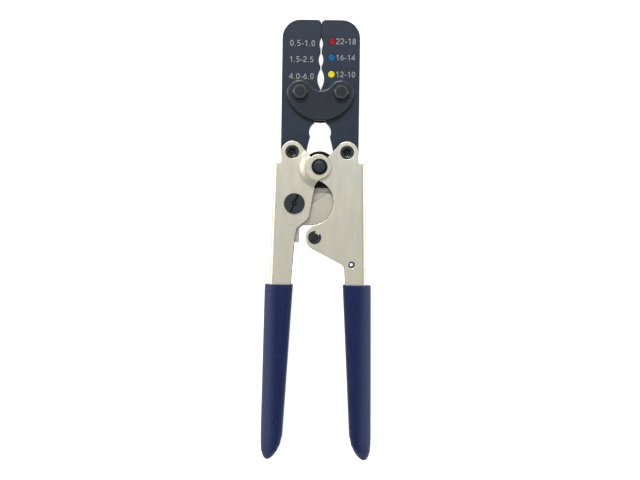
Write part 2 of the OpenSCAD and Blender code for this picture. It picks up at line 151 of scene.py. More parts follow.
def spaced(path, step):
    """The path with extra points, so that no stretch of it is longer than step."""
    out = []
    for a, b in zip(path, path[1:]):
        n = max(1, math.ceil(np.linalg.norm(np.subtract(b, a)) / step))
        out += [np.add(a, np.subtract(b, a) * i / n) for i in range(n)]
    return out + [np.array(path[-1], float)]


def left_normals(e):
    """Unit normals to the left of e's rows."""
    e = e / np.linalg.norm(e, axis=1)[:, None]
    return np.stack([-e[:, 1], e[:, 0]], 1)


def inset(loop, d):
    """The loop moved d to its left, so inwards for an anticlockwise one."""
    n2 = left_normals(np.roll(loop, -1, 0) - loop)
    n1 = np.roll(n2, 1, 0)
    n = n1 + n2
    n /= np.linalg.norm(n, axis=1)[:, None]
    return loop + n * (d / np.maximum((n * n1).sum(1), 0.45))[:, None]


def inside(p, loops):
    odd = False
    for loop in loops:
        x, y = loop[:, 0], loop[:, 1]
        x2, y2 = np.roll(x, -1), np.roll(y, -1)
        rise = np.where(y2 == y, 1e-12, y2 - y)
        hit = ((y > p[1]) != (y2 > p[1])) & (p[0] < (x2 - x) * (p[1] - y) / rise + x)
        odd ^= bool(hit.sum() % 2)
    return odd


def fill(groups, points=(), lines=()):
    """Vertices and anticlockwise triangles of the area inside any one of the groups of loops,
    with the given points and lines in it."""
    verts, edges = [], []
    for loop in (loop for group in groups for loop in group):
        n = len(verts)
        verts += [Vector(p) for p in loop]
        edges += [(n + i, n + (i + 1) % len(loop)) for i in range(len(loop))]
    verts += [Vector(p) for p in points]
    for a, b in lines:
        edges.append((len(verts), len(verts) + 1))
        verts += [Vector(a), Vector(b)]
    got = delaunay_2d_cdt(verts, edges, [], 0, 1e-5)
    v = np.array([[p.x, p.y] for p in got[0]])
    tris = []
    for f in got[2]:
        if any(inside(v[list(f)].mean(0), group) for group in groups):
            a, b, c = (v[i] for i in f)
            flip = (b[0] - a[0]) * (c[1] - a[1]) - (b[1] - a[1]) * (c[0] - a[0]) < 0
            tris.append(tuple(reversed(f)) if flip else tuple(f))
    return v, tris


# ---- Meshes ----


class Builder:
    """Collects vertices about the centre pivot and makes one mesh of them."""

    def __init__(self):
        self.v, self.f, self.m = [], [], []

    def add(self, verts, faces, mat=0):
        n = len(self.v)
        self.v += [tuple(map(float, p)) for p in verts]
        self.f += [tuple(n + i for i in f) for f in faces]
        self.m += [mat] * len(faces)

    def mesh(self, name, warp, mirror, weld=2e-6):
        """The mesh, in metres in the shared frame. Vertices closer than weld metres are joined."""
        v = np.array(self.v)
        if warp is not None:
            v = warp(v)
        if mirror:
            v = v * [-1, 1, 1]
        me = bpy.data.meshes.new(name)
        faces = [f[::-1] if mirror else f for f in self.f]
        me.from_pydata(((v + [CX, CY, CZ]) * MM).tolist(), [], faces)
        me.polygons.foreach_set("material_index", self.m)
        bm = bmesh.new()
        bm.from_mesh(me)
        bmesh.ops.remove_doubles(bm, verts=bm.verts, dist=weld)
        bmesh.ops.dissolve_degenerate(bm, edges=bm.edges, dist=1e-7)
        bm.to_mesh(me)
        bm.free()
        me.update()
        return me


def level(loop, z):
    """The loop's points at height z."""
    return np.c_[np.array(loop), np.full(len(loop), z)]


def skin(out, rings, mat=0, capped=False):
    """Quads between rings of equal length. Anticlockwise rings that go up give faces that look
    out. The two ends are closed where capped is set."""
    n, last = len(rings[0]), (len(rings) - 1) * len(rings[0])
    faces = []
    for r in range(0, last, n):
        for i in range(n):
            j = (i + 1) % n
            faces.append((r + i, r + j, r + n + j, r + n + i))
    if capped:
        faces.append(tuple(range(n))[::-1])
        faces.append(tuple(last + i for i in range(n)))
    out.add(np.vstack(rings), faces, mat)


def lathe(out, c, profile, n, mat=0):
    """A turned shape about c: profile is (r, z) from the bottom up and round, in n facets."""
    skin(out, [level(circle(c, max(r, 1e-4), n), z) for r, z in profile], mat)


def edge_profile(b, n):
    """Steps (inset, drop) round an edge of radius b, from the side up to the face."""
    turns = np.linspace(0, math.pi / 2, n + 1)
    return [(b * (1 - math.cos(t)), b * (1 - math.sin(t))) for t in turns]


FOOT = 0.12  # how far a blind hole's wall slopes in at its floor


def plate(out, loops, z0, z1, b, points=(), lines=(), blind=(), steps=3, top=None,
          wall=0, shade_steps=1, floor=0, rim=0):
    """A flat plate with edges rounded to radius b. loops[0] is the outline and the rest are holes;
    blind holes are (loop, depth). top is a profile (inset, drop) for the outline's upper edge that
    is used instead of a round one. wall, floor and rim are the materials of the walls, the blind
    holes' floors and the outline's upper edge; the wall's also covers the edges' lowest steps, as
    many as the argument after it gives. A dark wall or floor is a painted shade, and a lighter rim
    a painted highlight."""
    loops = [tidy_loop(loop, 1 if i == 0 else -1) for i, loop in enumerate(loops)]
    blind = [(tidy_loop(loop, -1), depth) for loop, depth in blind]
    low = [(d, z0 + h) for d, h in edge_profile(b, steps)][::-1]
    high = [(d, z1 - h) for d, h in edge_profile(b, steps)]
    outer = [(d, z1 - h) for d, h in top] if top else high
    k = len(low) + shade_steps
    for i, loop in enumerate(loops):
        rings = [level(inset(loop, d), z) for d, z in low + (high if i else outer)]
        skin(out, rings[:k + 1], wall)
        skin(out, rings[k:], 0 if i else rim)
    for loop, depth in blind:
        foot = [(-FOOT, z1 - depth), (0.0, z1 - depth + FOOT)]
        skin(out, [level(inset(loop, d), z) for d, z in foot + high])
        v, t = fill([[tidy_loop(inset(loop, -FOOT), -1)]])
        out.add(level(v, z1 - depth), t, floor)
    rest = loops[1:] + [loop for loop, _ in blind]
    tops = [inset(loops[0], outer[-1][0])] + [inset(loop, b) for loop in rest]
    v, t = fill([tops], points, lines)
    out.add(level(v, z1), t)
    v, t = fill([[inset(loop, b) for loop in loops]], points, lines)
    out.add(level(v, z0), [f[::-1] for f in t])


# ---- Materials ----


class Shade:
    """A Principled material with helpers for its procedural detail."""

    def __init__(self, name, **values):
        self.mat = bpy.data.materials.new(name)
        self.mat.use_nodes = True
        self.tree = self.mat.node_tree
        self.bsdf = self.tree.nodes["Principled BSDF"]
        self.coord = self.tree.nodes.new("ShaderNodeTexCoord").outputs["Object"]
        for key, value in values.items():
            self.set(self.bsdf.inputs[key.replace("_", " ")], value)
        self.normal = None

    def set(self, socket, value):
        """Links a socket, or sets it to a colour or number."""
        if isinstance(value, bpy.types.NodeSocket):
            self.tree.links.new(value, socket)
        else:
            colour = isinstance(value, tuple) and socket.type == "RGBA"
            socket.default_value = (*value, 1) if colour else value

    def node(self, kind, inputs, **props):
        n = self.tree.nodes.new("ShaderNode" + kind)
        for key, value in props.items():
            setattr(n, key, value)
        for key, value in inputs.items():
            self.set(n.inputs[key], value)
        return n

    def noise(self, scale, detail=4.0, rough=0.55, stretch=(1, 1, 1), distortion=0.0):
        """Noise with scale features per metre, times a stretch (x, y, z)."""
        m = self.node("Mapping", {"Vector": self.coord, "Scale": stretch})
        n = self.node("TexNoise", {"Vector": m.outputs[0], "Scale": scale, "Detail": detail,
                                   "Roughness": rough, "Distortion": distortion})
        return n.outputs["Fac"]

    def cells(self, scale):
        n = self.node("TexVoronoi", {"Vector": self.coord, "Scale": scale}, feature="F1")
        return n.outputs["Distance"]

    def ramp(self, value, *stops):
        """Values by position, as (position, value)."""
        n = self.node("ValToRGB", {"Fac": value})
        for el, (pos, c) in zip(n.color_ramp.elements, stops):
            el.position = pos
            el.color = (c, c, c, 1)
        return n.outputs["Color"]

    def mix(self, fac, a, b, blend="MIX"):
        return self.node("Mix", {0: fac, 6: a, 7: b}, data_type="RGBA", blend_type=blend).outputs[2]

    def blend(self, noise, lo, hi, a, b):
        """Colour a where the noise is below lo, going over to b at hi."""
        return self.mix(self.ramp(noise, (lo, 0.0), (hi, 1.0)), a, b)

    def to(self, socket, value):
        self.tree.links.new(value, self.bsdf.inputs[socket])

    def rough(self, noise, low, high):
        """Roughness from low to high with the noise."""
        self.to("Roughness", self.ramp(noise, (0.3, low), (0.7, high)))

    def bump(self, value, distance_mm, strength=1.0):
        inputs = {"Height": value, "Distance": distance_mm * MM, "Strength": strength}
        if self.normal is not None:
            inputs["Normal"] = self.normal
        self.normal = self.node("Bump", inputs).outputs["Normal"]
        self.to("Normal", self.normal)


def black_oxide(name, base, dusty, rough, spec):
    s = Shade(name, Specular_IOR_Level=spec)
    s.to("Base Color", s.blend(s.noise(90, 5, 0.6), 0.35, 0.7, base, dusty))
    s.rough(s.noise(500, 6, 0.65), rough - 0.07, rough + 0.09)
    s.bump(s.noise(1600, 3, 0.6), 0.012)
    s.bump(s.noise(140, 4, 0.5), 0.03)
    return s.mat


def hammered(name, low, high):
    """Dark steel with soft dents of about half a millimetre."""
    s = Shade(name, Specular_IOR_Level=0.4)
    dents = s.noise(1500, 2, 0.5)
    s.to("Base Color", s.blend(dents, 0.42, 0.62, low, high))
    s.rough(s.noise(900), 0.30, 0.44)
    s.bump(dents, 0.12)
    return s.mat


def plated(name, base, warm, cool, rough):
    """Plated sheet steel with faint patches of tint and a grain along the tool."""
    grain = (1.0, 0.12, 1.0)
    s = Shade(name, Metallic=1.0)
    tint = s.blend(s.noise(38, 3, 0.5), 0.38, 0.66, base, warm)
    tint = s.blend(s.noise(23, 2, 0.5, distortion=0.6), 0.5, 0.78, tint, cool)
    speck = s.ramp(s.noise(900, 5, 0.7), (0.36, 0.88), (0.6, 1.0))
    s.to("Base Color", s.mix(0.5, tint, speck, "MULTIPLY"))
    s.rough(s.noise(420, 6, 0.6, grain), rough - 0.05, rough + 0.07)
    s.bump(s.noise(2600, 4, 0.6, grain), 0.006)
    s.bump(s.noise(240, 4, 0.5), 0.02)
    return s.mat


def steel(name, base, rough):
    s = Shade(name, Metallic=1.0)
    s.to("Base Color", s.blend(s.noise(300), 0.4, 0.65, base, tuple(c * 0.75 for c in base)))
    s.rough(s.noise(700, 5), rough - 0.06, rough + 0.08)
    s.bump(s.noise(1500, 4, 0.6), 0.01)
    return s.mat


# The paler outer half of each grip is a painted sheen, between these two distances.
SHEEN_FROM, SHEEN_TO = 24.0, 29.0  # distance from the middle of the tool where the grips turn paler


def vinyl():
    """Soft grained vinyl, with a painted sheen that makes the outer half of each grip paler."""
    s = Shade("blue_vinyl", Specular_IOR_Level=0.17, Sheen_Weight=0.03, Sheen_Roughness=0.4)
    x = s.node("SeparateXYZ", {"Vector": s.coord}).outputs["X"]
    across = s.node("Math", {0: x}, operation="ABSOLUTE").outputs[0]
    painted_sheen = s.node("MapRange", {"Value": across, "From Min": SHEEN_FROM * MM,
                               "From Max": SHEEN_TO * MM}, interpolation_type="SMOOTHSTEP")
    base = s.blend(s.noise(70), 0.35, 0.68, (0.0018, 0.0078, 0.0480), (0.0038, 0.0108, 0.0580))
    # painted sheen: the base goes over to a paler grey-blue towards the outer side of each grip
    base = s.mix(painted_sheen.outputs[0], base, (0.0250, 0.0335, 0.0900))
    speck = s.ramp(s.noise(1500, 3, 0.6), (0.50, 0.0), (0.68, 0.55))
    s.to("Base Color", s.mix(speck, base, (0.0230, 0.0340, 0.0980)))
    s.rough(s.noise(600, 5, 0.6), 0.44, 0.58)
    s.bump(s.cells(1250), 0.04, 0.8)
    s.bump(s.noise(2600, 3, 0.6), 0.015)
    s.bump(s.noise(60, 3, 0.5), 0.12)
    return s.mat


def enamel(name, base, deep):
    s = Shade(name, Specular_IOR_Level=0.2, Coat_Weight=0.06, Coat_Roughness=0.18)
    s.to("Base Color", s.blend(s.noise(900, 4, 0.6), 0.35, 0.7, base, deep))
    s.rough(s.noise(700), 0.28, 0.42)
    s.bump(s.noise(500, 3), 0.02)
    return s.mat


def ink():
    s = Shade("print_ink", Specular_IOR_Level=0.35)
    s.to("Base Color", s.blend(s.noise(2200, 4, 0.7), 0.42, 0.62,
                               (0.30, 0.30, 0.295), (0.17, 0.172, 0.178)))
    s.rough(s.noise(900), 0.5, 0.7)
    return s.mat


# Blackened steels: name, clean colour, dusty colour, roughness, specular level.
BLACKS = {
    "jaw": ("jaw_black", (0.0108, 0.0186, 0.0325), (0.0140, 0.0230, 0.0385), 0.42, 0.24),
    # painted shade: a darker copy of the jaw black, for the jaws' walls and lowest edge steps and
    # the tail pins' hollows
    "flank": ("jaw_flank_painted_shade", (0.0062, 0.0100, 0.0165), (0.0085, 0.0128, 0.0200), 0.45, 0.18),
    "link": ("link_black", (0.0078, 0.0125, 0.0190), (0.0108, 0.0160, 0.0235), 0.36, 0.30),
    # The front link plate's burnished upper edge: smoother and shinier, with a lighter colour that
    # is a painted highlight.
    "rim": ("link_burnish_and_highlight", (0.0090, 0.0150, 0.0235), (0.0125, 0.0195, 0.0300), 0.28, 0.52),
    "bolt": ("bolt_black", (0.0070, 0.0092, 0.0125), (0.0112, 0.0132, 0.0165), 0.36, 0.30),
    # painted highlight: a lighter grey for the bolt heads' chamfer and the flat ring inside it
    "bolt_painted_highlight": ("bolt_painted_highlight", (0.0240, 0.0250, 0.0280), (0.0330, 0.0340, 0.0370), 0.32, 0.5),
    "pin": ("pin_black", (0.0100, 0.0125, 0.0100), (0.0170, 0.0195, 0.0160), 0.34, 0.36),
    "blued": ("blued_steel", (0.0085, 0.0130, 0.0195), (0.0150, 0.0195, 0.0275), 0.34, 0.40),
    # painted shade: dark brown for the sheet's walls and lowest edge steps, standing in for the
    # shade along the edges
    "cut": ("cut_edge_painted_shade", (0.115, 0.100, 0.078), (0.160, 0.142, 0.114), 0.5, 0.3),
    # Black for the spacer and the snap ring, and a painted shade on other parts' edges, sides and
    # hollows.
    "spacer": ("black_parts_and_painted_shade", (0.0035, 0.0035, 0.0040), (0.006, 0.006, 0.006), 0.5, 0.12),
}
# Plated steels: name, base colour, warm tint, cool tint, roughness.
PLATINGS = {
    "sheet": ("plated_sheet", (0.60, 0.585, 0.50), (0.635, 0.60, 0.485), (0.575, 0.58, 0.525),
              0.36),
    "sector": ("plated_sector", (0.52, 0.505, 0.435), (0.55, 0.52, 0.43), (0.50, 0.50, 0.46),
               0.40),
}
M = {key: black_oxide(*values) for key, values in BLACKS.items()}
M |= {key: plated(*values) for key, values in PLATINGS.items()}
M |= {
    "hammered": hammered("hammered_steel", (0.0022, 0.0042, 0.0110), (0.0130, 0.0175, 0.0290)),
    "steel": steel("bright_steel", (0.45, 0.45, 0.44), 0.36),
    "wire": steel("spring_wire", (0.45, 0.45, 0.46), 0.28),
    "vinyl": vinyl(),
    "red": enamel("red_enamel", (0.235, 0.0010, 0.0085), (0.185, 0.0010, 0.0070)),
    "blue": enamel("blue_enamel", (0.0010, 0.085, 0.255), (0.0010, 0.065, 0.205)),
    "yellow": enamel("yellow_enamel", (0.65, 0.54, 0.013), (0.52, 0.42, 0.009)),
    "ink": ink(),
}


def piece(node, builder, mats, name=None, warp=None, mirror=False, angle=38, replaces=True,
          weighted=True):
    """A finished piece that rides with a CAD node's body and, with replaces, stands for it.
    Edges sharper than angle degrees stay sharp."""
    name = name or node + "_detail"
    me = builder.mesh(name, warp, mirror)
    me.polygons.foreach_set("use_smooth", [True] * len(me.polygons))
    me.set_sharp_from_angle(angle=math.radians(angle))
    for m in mats:
        me.materials.append(M[m])
    ob = bpy.data.objects.new(name, me)
    bpy.context.scene.collection.objects.link(ob)
    if weighted:
        ob.modifiers.new("weighted_normals", "WEIGHTED_NORMAL").keep_sharp = True
    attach(ob, BODY[node])
    if replaces:
        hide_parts(node)


# ---- Jaws ----

SHUT = 0.004  # half the gap between the faces of the shut jaws
WAIST = 0.3  # and half the gap at the ends of each nest
NESTS = [(74.4, 3.5, 0.7), (64.9, 4.4, 1.1), (53.4, 6.2, 1.7)]  # y, half height, depth
NEST_MARGIN = 1.2  # the widening above the highest nest
THROAT_X, THROAT_Y, THROAT_R = 3.3, 21.3, 6.6
LUG_R = 6.65  # the lug round each tail pin
LIP_R, THIGH_R, CROWN_R = 2.6, 5.5, 11.0  # fillets: die face to top, throat to lug, outer top
JAW_EDGE = 0.32
BOLT_HOLE_R, TAIL_HOLE_R = 4.05, 3.9
DOTS = {"size_dot_red": "red", "size_dot_blue": "blue", "size_dot_yellow": "yellow"}
DIMPLE_GAP, DIMPLE_DEPTH = 0.2, 0.5  # the dimples round the dots


def nest_arc(y, h, d):
    r = (h * h + d * d) / (2 * d)
    a = math.degrees(math.asin(h / r))
    return arc((WAIST + d - r, y), r, a, -a, 2.5)


def jaw_outline():
    """The right jaw, from the top of its die face down and round."""
    px, py = PIN_R
    top_nest, top_half, _ = NESTS[0]
    pts = corner((JAW_W, JAW_TOP), (SHUT, JAW_TOP), (SHUT, 0), LIP_R)
    pts += [np.array([SHUT, top_nest + top_half + NEST_MARGIN])]
    for n in NESTS:
        pts += nest_arc(*n)
    pts += [np.array([THROAT_X, THROAT_Y + math.sqrt(THROAT_R ** 2 - THROAT_X ** 2)])]
    pts += arc((0, THROAT_Y), THROAT_R, 55, -24)
    pts += corner((6, 18.6), (9.9, py - LUG_R), (px, py - LUG_R), THIGH_R)
    pts += corner((px, py - LUG_R), (JAW_W, py - LUG_R), (JAW_W, 50), LUG_R - 0.05)
    pts += corner((JAW_W, 50), (JAW_W, JAW_TOP), (0, JAW_TOP), CROWN_R, 4)
    return pts


def radius(node):
    """Half the width of a round node's box."""
    lo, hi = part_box(node)
    return (hi[0] - lo[0]) / MM / 2


def jaw(node, dots, mirror):
    b = Builder()
    holes = [circle(BOLT_R, BOLT_HOLE_R), circle(PIN_R, TAIL_HOLE_R)]
    dimples = [(circle(place(n), radius(n) + DIMPLE_GAP, 40), DIMPLE_DEPTH) for n in dots]
    # the walls and two lowest edge steps take the painted shade
    plate(b, [jaw_outline(), *holes], -JAW_Z, JAW_Z, JAW_EDGE, blind=dimples, wall=1, shade_steps=2)
    piece(node, b, ["jaw", "flank"], mirror=mirror)


jaw("left_jaw", (), True)
jaw("right_jaw", DOTS, False)

for node, colour in DOTS.items():
    low, top = z_span(node)
    r = radius(node)
    b = Builder()
    lathe(b, place(node), [(0, low), (r - 0.02, low), (r, low + 0.06), (r, top - 0.08),
                           (r - 0.1, top - 0.01), (r - 0.3, top - 0.02), (r * 0.55, top - 0.09),
                           (0, top - 0.13)], 40)
    piece(node, b, [colour])

# Wire sizes printed on the jaws: text, middle, width. The digits are about 3.6 mm tall.
SIZES = {
    "left_jaw": [("0.5-1.0", -11.16, 74.3, 15.2), ("1.5-2.5", -11.7, 64.6, 14.5),
                 ("4.0-6.0", -11.5, 54.4, 14.8)],
    "right_jaw": [("22-18", 14.87, 75.6, 12.1), ("16-14", 14.65, 65.9, 11.6),
                  ("12-10", 14.79, 55.8, 11.8)],
}


def oval(x, y, w, h, a0=0, a1=360):
    return [np.array([x + w * math.cos(math.radians(a)), y + h * math.sin(math.radians(a))])
            for a in np.linspace(a0, a1, max(3, int(abs(a1 - a0) / 15) + 1))]


# The print, in digit heights: the strokes' width, a digit's advance, and the gaps inside a line of
# text's first and last advance, both together and the left one.
STROKE, DIGIT = 0.125, 0.777
SIDE_GAPS, LEFT_GAP = 0.13, 0.08
# Characters as their advance and centre lines. A line that ends where it starts is a closed ring.
GLYPHS = {
    "0": (DIGIT, [oval(0.385, 0.5, 0.235, 0.44)]),
    "1": (DIGIT, [[(0.46, 0), (0.46, 0.99)], [(0.455, 0.94), (0.34, 0.82), (0.17, 0.73)]]),
    "2": (DIGIT, [oval(0.385, 0.705, 0.235, 0.235, 175, -25)
                  + [(0.50, 0.46), (0.27, 0.25), (0.115, 0.06), (0.655, 0.06)]]),
    "4": (DIGIT, [[(0.53, 0), (0.53, 0.99)], [(0.53, 0.92), (0.085, 0.30), (0.71, 0.30)]]),
    "5": (DIGIT, [[(0.63, 0.935), (0.235, 0.935), (0.17, 0.50)],
                  oval(0.36, 0.315, 0.26, 0.27, 140, -138)]),
    "6": (DIGIT, [oval(0.395, 0.32, 0.24, 0.27),
                  [(0.53, 0.95), (0.40, 0.86), (0.27, 0.70), (0.185, 0.50), (0.155, 0.34)]]),
    "8": (DIGIT, [oval(0.385, 0.735, 0.195, 0.20), oval(0.385, 0.28, 0.235, 0.225)]),
    ".": (0.388, [[(0.20, 0), (0.20, 0.135)]]),
    "-": (0.465, [[(0.06, 0.355), (0.41, 0.355)]]),
}
INK_LOW, INK_HIGH = 0.002, 0.03  # the print's underside and top, above the jaw's face


def stroke(path):
    """The outline loops of a centre line drawn with the stroke width."""
    path = np.array(path)
    half = STROKE / 2
    if np.linalg.norm(path[0] - path[-1]) < 1e-6:
        ring = tidy_loop(path, 1, 0.001)
        return [inset(ring, -half), inset(ring, half)]
    n = left_normals(np.diff(path, axis=0))
    m = np.vstack([n[:1], n[:-1] + n[1:], n[-1:]])
    m /= np.linalg.norm(m, axis=1)[:, None]
    k = half / np.maximum((m * np.vstack([n, n[-1:]])).sum(1), 0.5)
    side = m * k[:, None]
    return [np.vstack([path + side, (path - side)[::-1]])]


def printed(node, rows):
    """Thin raised print on a jaw's front face."""
    b = Builder()
    for text, x, y, width in rows:
        total = sum(GLYPHS[ch][0] for ch in text) - SIDE_GAPS
        h = width / total
        at = -total / 2 - LEFT_GAP
        for ch in text:
            step, lines = GLYPHS[ch]
            v, t = fill([[(loop + [at, -0.5]) * h + [x, y] for loop in stroke(line)]
                         for line in lines])
            n = len(v)
            used = dict.fromkeys(e for f in t for e in zip(f, f[1:] + f[:1]))
            walls = [(q, p, p + n, q + n) for p, q in used if (q, p) not in used]
            b.add(np.vstack([level(v, JAW_Z + INK_HIGH), level(v, JAW_Z + INK_LOW)]),
                  t + [tuple(i + n for i in f)[::-1] for f in t] + walls)
            at += step
    piece(node, b, ["ink"], name=node + "_sizes", replaces=False, weighted=False)


for node, rows in SIZES.items():
    printed(node, rows)

# ---- Link plates, bolts and nuts ----

LOBE_R, SHANK_HOLE_R = 7.9, 2.6  # round each bolt
DIP_Y = 53.4  # the middle of the arc that dips between the lobes
# The front plate's pressed upper edge, as (inset, drop).
PRESSED = [(0, 1.1), (0.02, 0.72), (0.1, 0.55), (0.2, 0.46), (0.95, 0.1), (1.1, 0.045), (1.3, 0.01),
           (1.5, 0)]


def link_outline():
    """A lobe round each bolt, a dip between them and one wide arc below."""
    bx, by = BOLT_R
    d = by - LINK_BOTTOM
    big = (bx * bx + d * d - LOBE_R ** 2) / (2 * (d - LOBE_R))
    big_y = LINK_BOTTOM + big
    dip_r = math.hypot(bx, DIP_Y - by) - LOBE_R
    low = math.degrees(math.atan2(by - big_y, bx))
    dip = math.degrees(math.atan2(DIP_Y - by, -bx))
    return (arc((0, big_y), big, -180 - low, low, 3) + arc((bx, by), LOBE_R, low, dip, 4)
            + arc((0, DIP_Y), dip_r, dip - 180, -dip, 4)
            + arc((-bx, by), LOBE_R, 180 - dip, 180 - low, 4))


link_loops = [link_outline(), circle(BOLT_R, SHANK_HOLE_R), circle(BOLT_L, SHANK_HOLE_R)]
front, rear = Builder(), Builder()
# painted shade: the walls and lowest edge step of the front plate, and three steps of the rear one,
# are black
plate(front, link_loops, LINK_LO, LINK_HI, 0.3, top=PRESSED, rim=1, wall=2)
plate(rear, link_loops, -LINK_HI, -LINK_LO, 0.4, wall=2, shade_steps=3)
piece("link_plate_front", front, ["link", "rim", "spacer"])
piece("link_plate_rear", rear, ["link", "rim", "spacer"])

HEX_AF, HEX_N = 7.95, 72  # width across flats, and points round a head
CHAMFER = math.tan(math.radians(30))
HEAD_CAP, NUT_CAP = 3.4, 3.75  # radii of the flats inside the chamfers
THREAD_R, THREAD_ROOT, THREAD_PITCH = 2.5, 2.12, 0.5


def turned(c, r, z, turn):
    """A circle whose points line up with a hexagon's."""
    return level(circle(c, r, HEX_N, turn), z)


def chamfered_hex(c, z0, z1, turn, cap):
    """Rings of a hexagon from z0 to z1 whose top corners are turned off outside radius cap."""
    turns = [360 * i / HEX_N + turn for i in range(HEX_N)]
    reach = [HEX_AF / 2 / math.cos(math.radians((a - turn + 30) % 60 - 30)) for a in turns]
    ring = np.array([np.array(c) + polar(r, a) for r, a in zip(reach, turns)])
    over = np.maximum(0, np.linalg.norm(ring - c, axis=1) - cap)
    return [level(ring, z0), np.c_[ring, z1 - over * CHAMFER]]


def jaw_bolt(node, c, turn):
    """A hexagon head on a washer face, and a threaded shank."""
    low, z1 = z_span(node)
    z0 = LINK_HI
    b = Builder()
    rings = [turned(c, 0.001, z0 + 0.02, turn), turned(c, 3.6, z0 + 0.02, turn)]
    rings += chamfered_hex(c, z0 + 0.12, z1, turn, HEAD_CAP)
    rings += [turned(c, r, z1, turn) for r in (HEAD_CAP, 3.0, 1.2, 0.001)]
    # painted shade: the washer face and the hex sides are black
    skin(b, rings[:4], 1)
    # the chamfer and the ring inside it take the painted highlight
    skin(b, rings[3:6], 2)
    skin(b, rings[5:])
    end = [(0, low), (1.9, low), (2.35, low + 0.45)]
    z = low + 0.45
    while z < -LINK_HI - 0.2:
        end += [(THREAD_R, z + 0.15), (THREAD_R, z + 0.25), (THREAD_ROOT, z + 0.42)]
        z += THREAD_PITCH
    end += [(THREAD_R, -LINK_HI + 0.4), (THREAD_R, z0 + 0.02), (0, z0 + 0.02)]
    lathe(b, c, end, 32)
    piece(node, b, ["bolt", "spacer", "bolt_painted_highlight"], angle=28)


def jaw_nut(node, c, turn):
    z0, z1 = z_span(node)
    b = Builder()
    side = [ring * [1, 1, -1] for ring in chamfered_hex(c, -z1, -z0, turn, NUT_CAP)[::-1]]
    skin(b, [turned(c, 2.52, z0 + 0.3, turn), turned(c, 2.8, z0, turn), turned(c, 3.7, z0, turn),
             *side, turned(c, 2.52, z1, turn), turned(c, 2.52, z0 + 0.3, turn)])
    piece(node, b, ["bolt"], angle=28)


jaw_bolt("jaw_bolt_left", BOLT_L, 30)
jaw_bolt("jaw_bolt_right", BOLT_R, 21)
jaw_nut("jaw_nut_left", BOLT_L, 10)
jaw_nut("jaw_nut_right", BOLT_R, -8)

# ---- Handles ----

BEND_R, SHEET = 3.0, 2.0  # outer radius of the bends, and the sheet's thickness
FLARE = math.tan(math.radians(1.3))  # how the channels widen towards the grips
SHOULDER_Y, WEB_TOP_X, NOTCH_R = 2.2, 27.6, 1.5
INNER_TOP, INNER_END = (14.5, -44.0), (23.0, -HANDLE_END)
EAR_C, EAR_R = np.array([0.4, 0.0]), 7.5  # the raised ear, drawn mirrored
JOGGLE_IN, JOGGLE_OUT, CREASE = 8.3, 12.9, 0.2  # the radii between which the sheet ramps up
HUB_R, LUG_A = 7.2, 50  # the right hub, and the angle of its side to the lug
WINDOW_C, WINDOW_R = (-5.0, -21.2), 13.7  # the window's arc in the right flange, and its ends
WINDOW_TOP, WINDOW_LOW = (-1.4, -8.22), (-3.9, -34.9)
BOSS_C, BOSS_R = (0.1, -42.3), 7.7  # the right flange's boss round the pawl pin
MID = BEND_R - SHEET / 2  # radius of the middle of the sheet in a bend
L_BEND = math.pi / 2 * MID
L_WEB = 2 * (CHANNEL_Z - BEND_R)
L_ALL = 2 * L_BEND + L_WEB
SHEET_EDGE = 0.42  # radius of the sheet's cut edges
# Radii of the holes in the flanges.
TAIL_PIN_HOLE, PAWL_HOLE, ANCHOR_HOLE, HUB_HOLE = 3.87, 2.22, 1.87, 4.02
ADJUSTER_HOLE, EAR_HOLE = 3.05, 4.5


def bend_x(y):
    """Where the front flange ends and the bend begins."""
    return WEB_TOP_X + (SHOULDER_Y - y) * FLARE - BEND_R


def flat_front(p):
    return np.array([p[0] - bend_x(p[1]), p[1]])


def flat_rear(p):
    return np.array([L_ALL + bend_x(p[1]) - p[0], p[1]])


def crease(k):
    """A straight ramp from 0 to 1 whose foot is rounded over CREASE of its width."""
    return np.where(k < CREASE, k * k / (2 * CREASE), k - CREASE / 2) / (1 - CREASE / 2)


def fold(ear):
    """Maps the flat sheet (t, y, w) to the folded channel, with the raised ears where ear is set.
    t runs across the sheet from the front bend's start, and w is the height above its middle."""
    def warp(v):
        t, y, w = v[:, 0], v[:, 1], v[:, 2]
        xb = bend_x(y)
        phi = np.where(t < L_BEND + L_WEB, np.clip(t / MID, 0, math.pi / 2),
                       math.pi / 2 + np.clip((t - L_BEND - L_WEB) / MID, 0, math.pi / 2))
        x = xb + MID * np.sin(phi) + np.minimum(t, 0) - np.maximum(t - L_ALL, 0)
        centre = np.where(t < L_ALL / 2, CHANNEL_Z - BEND_R, BEND_R - CHANNEL_Z)
        z = centre + MID * np.cos(phi)
        on_web = (t > L_BEND) & (t < L_BEND + L_WEB)
        z = np.where(on_web, CHANNEL_Z - BEND_R - (t - L_BEND), z)
        x, z = x + w * np.sin(phi), z + w * np.cos(phi)
        if ear:
            r = np.hypot(x, y)
            k = np.clip((JOGGLE_OUT - r) / (JOGGLE_OUT - JOGGLE_IN), 0, 1)
            rise = (EAR_Z - CHANNEL_Z) * (crease(k) - crease(1 - k) + 1) / 2
            z = z + np.where((t < 0) | (t > L_ALL), np.sign(z) * rise, 0)
        return np.stack([x, y, z], 1)
    return warp


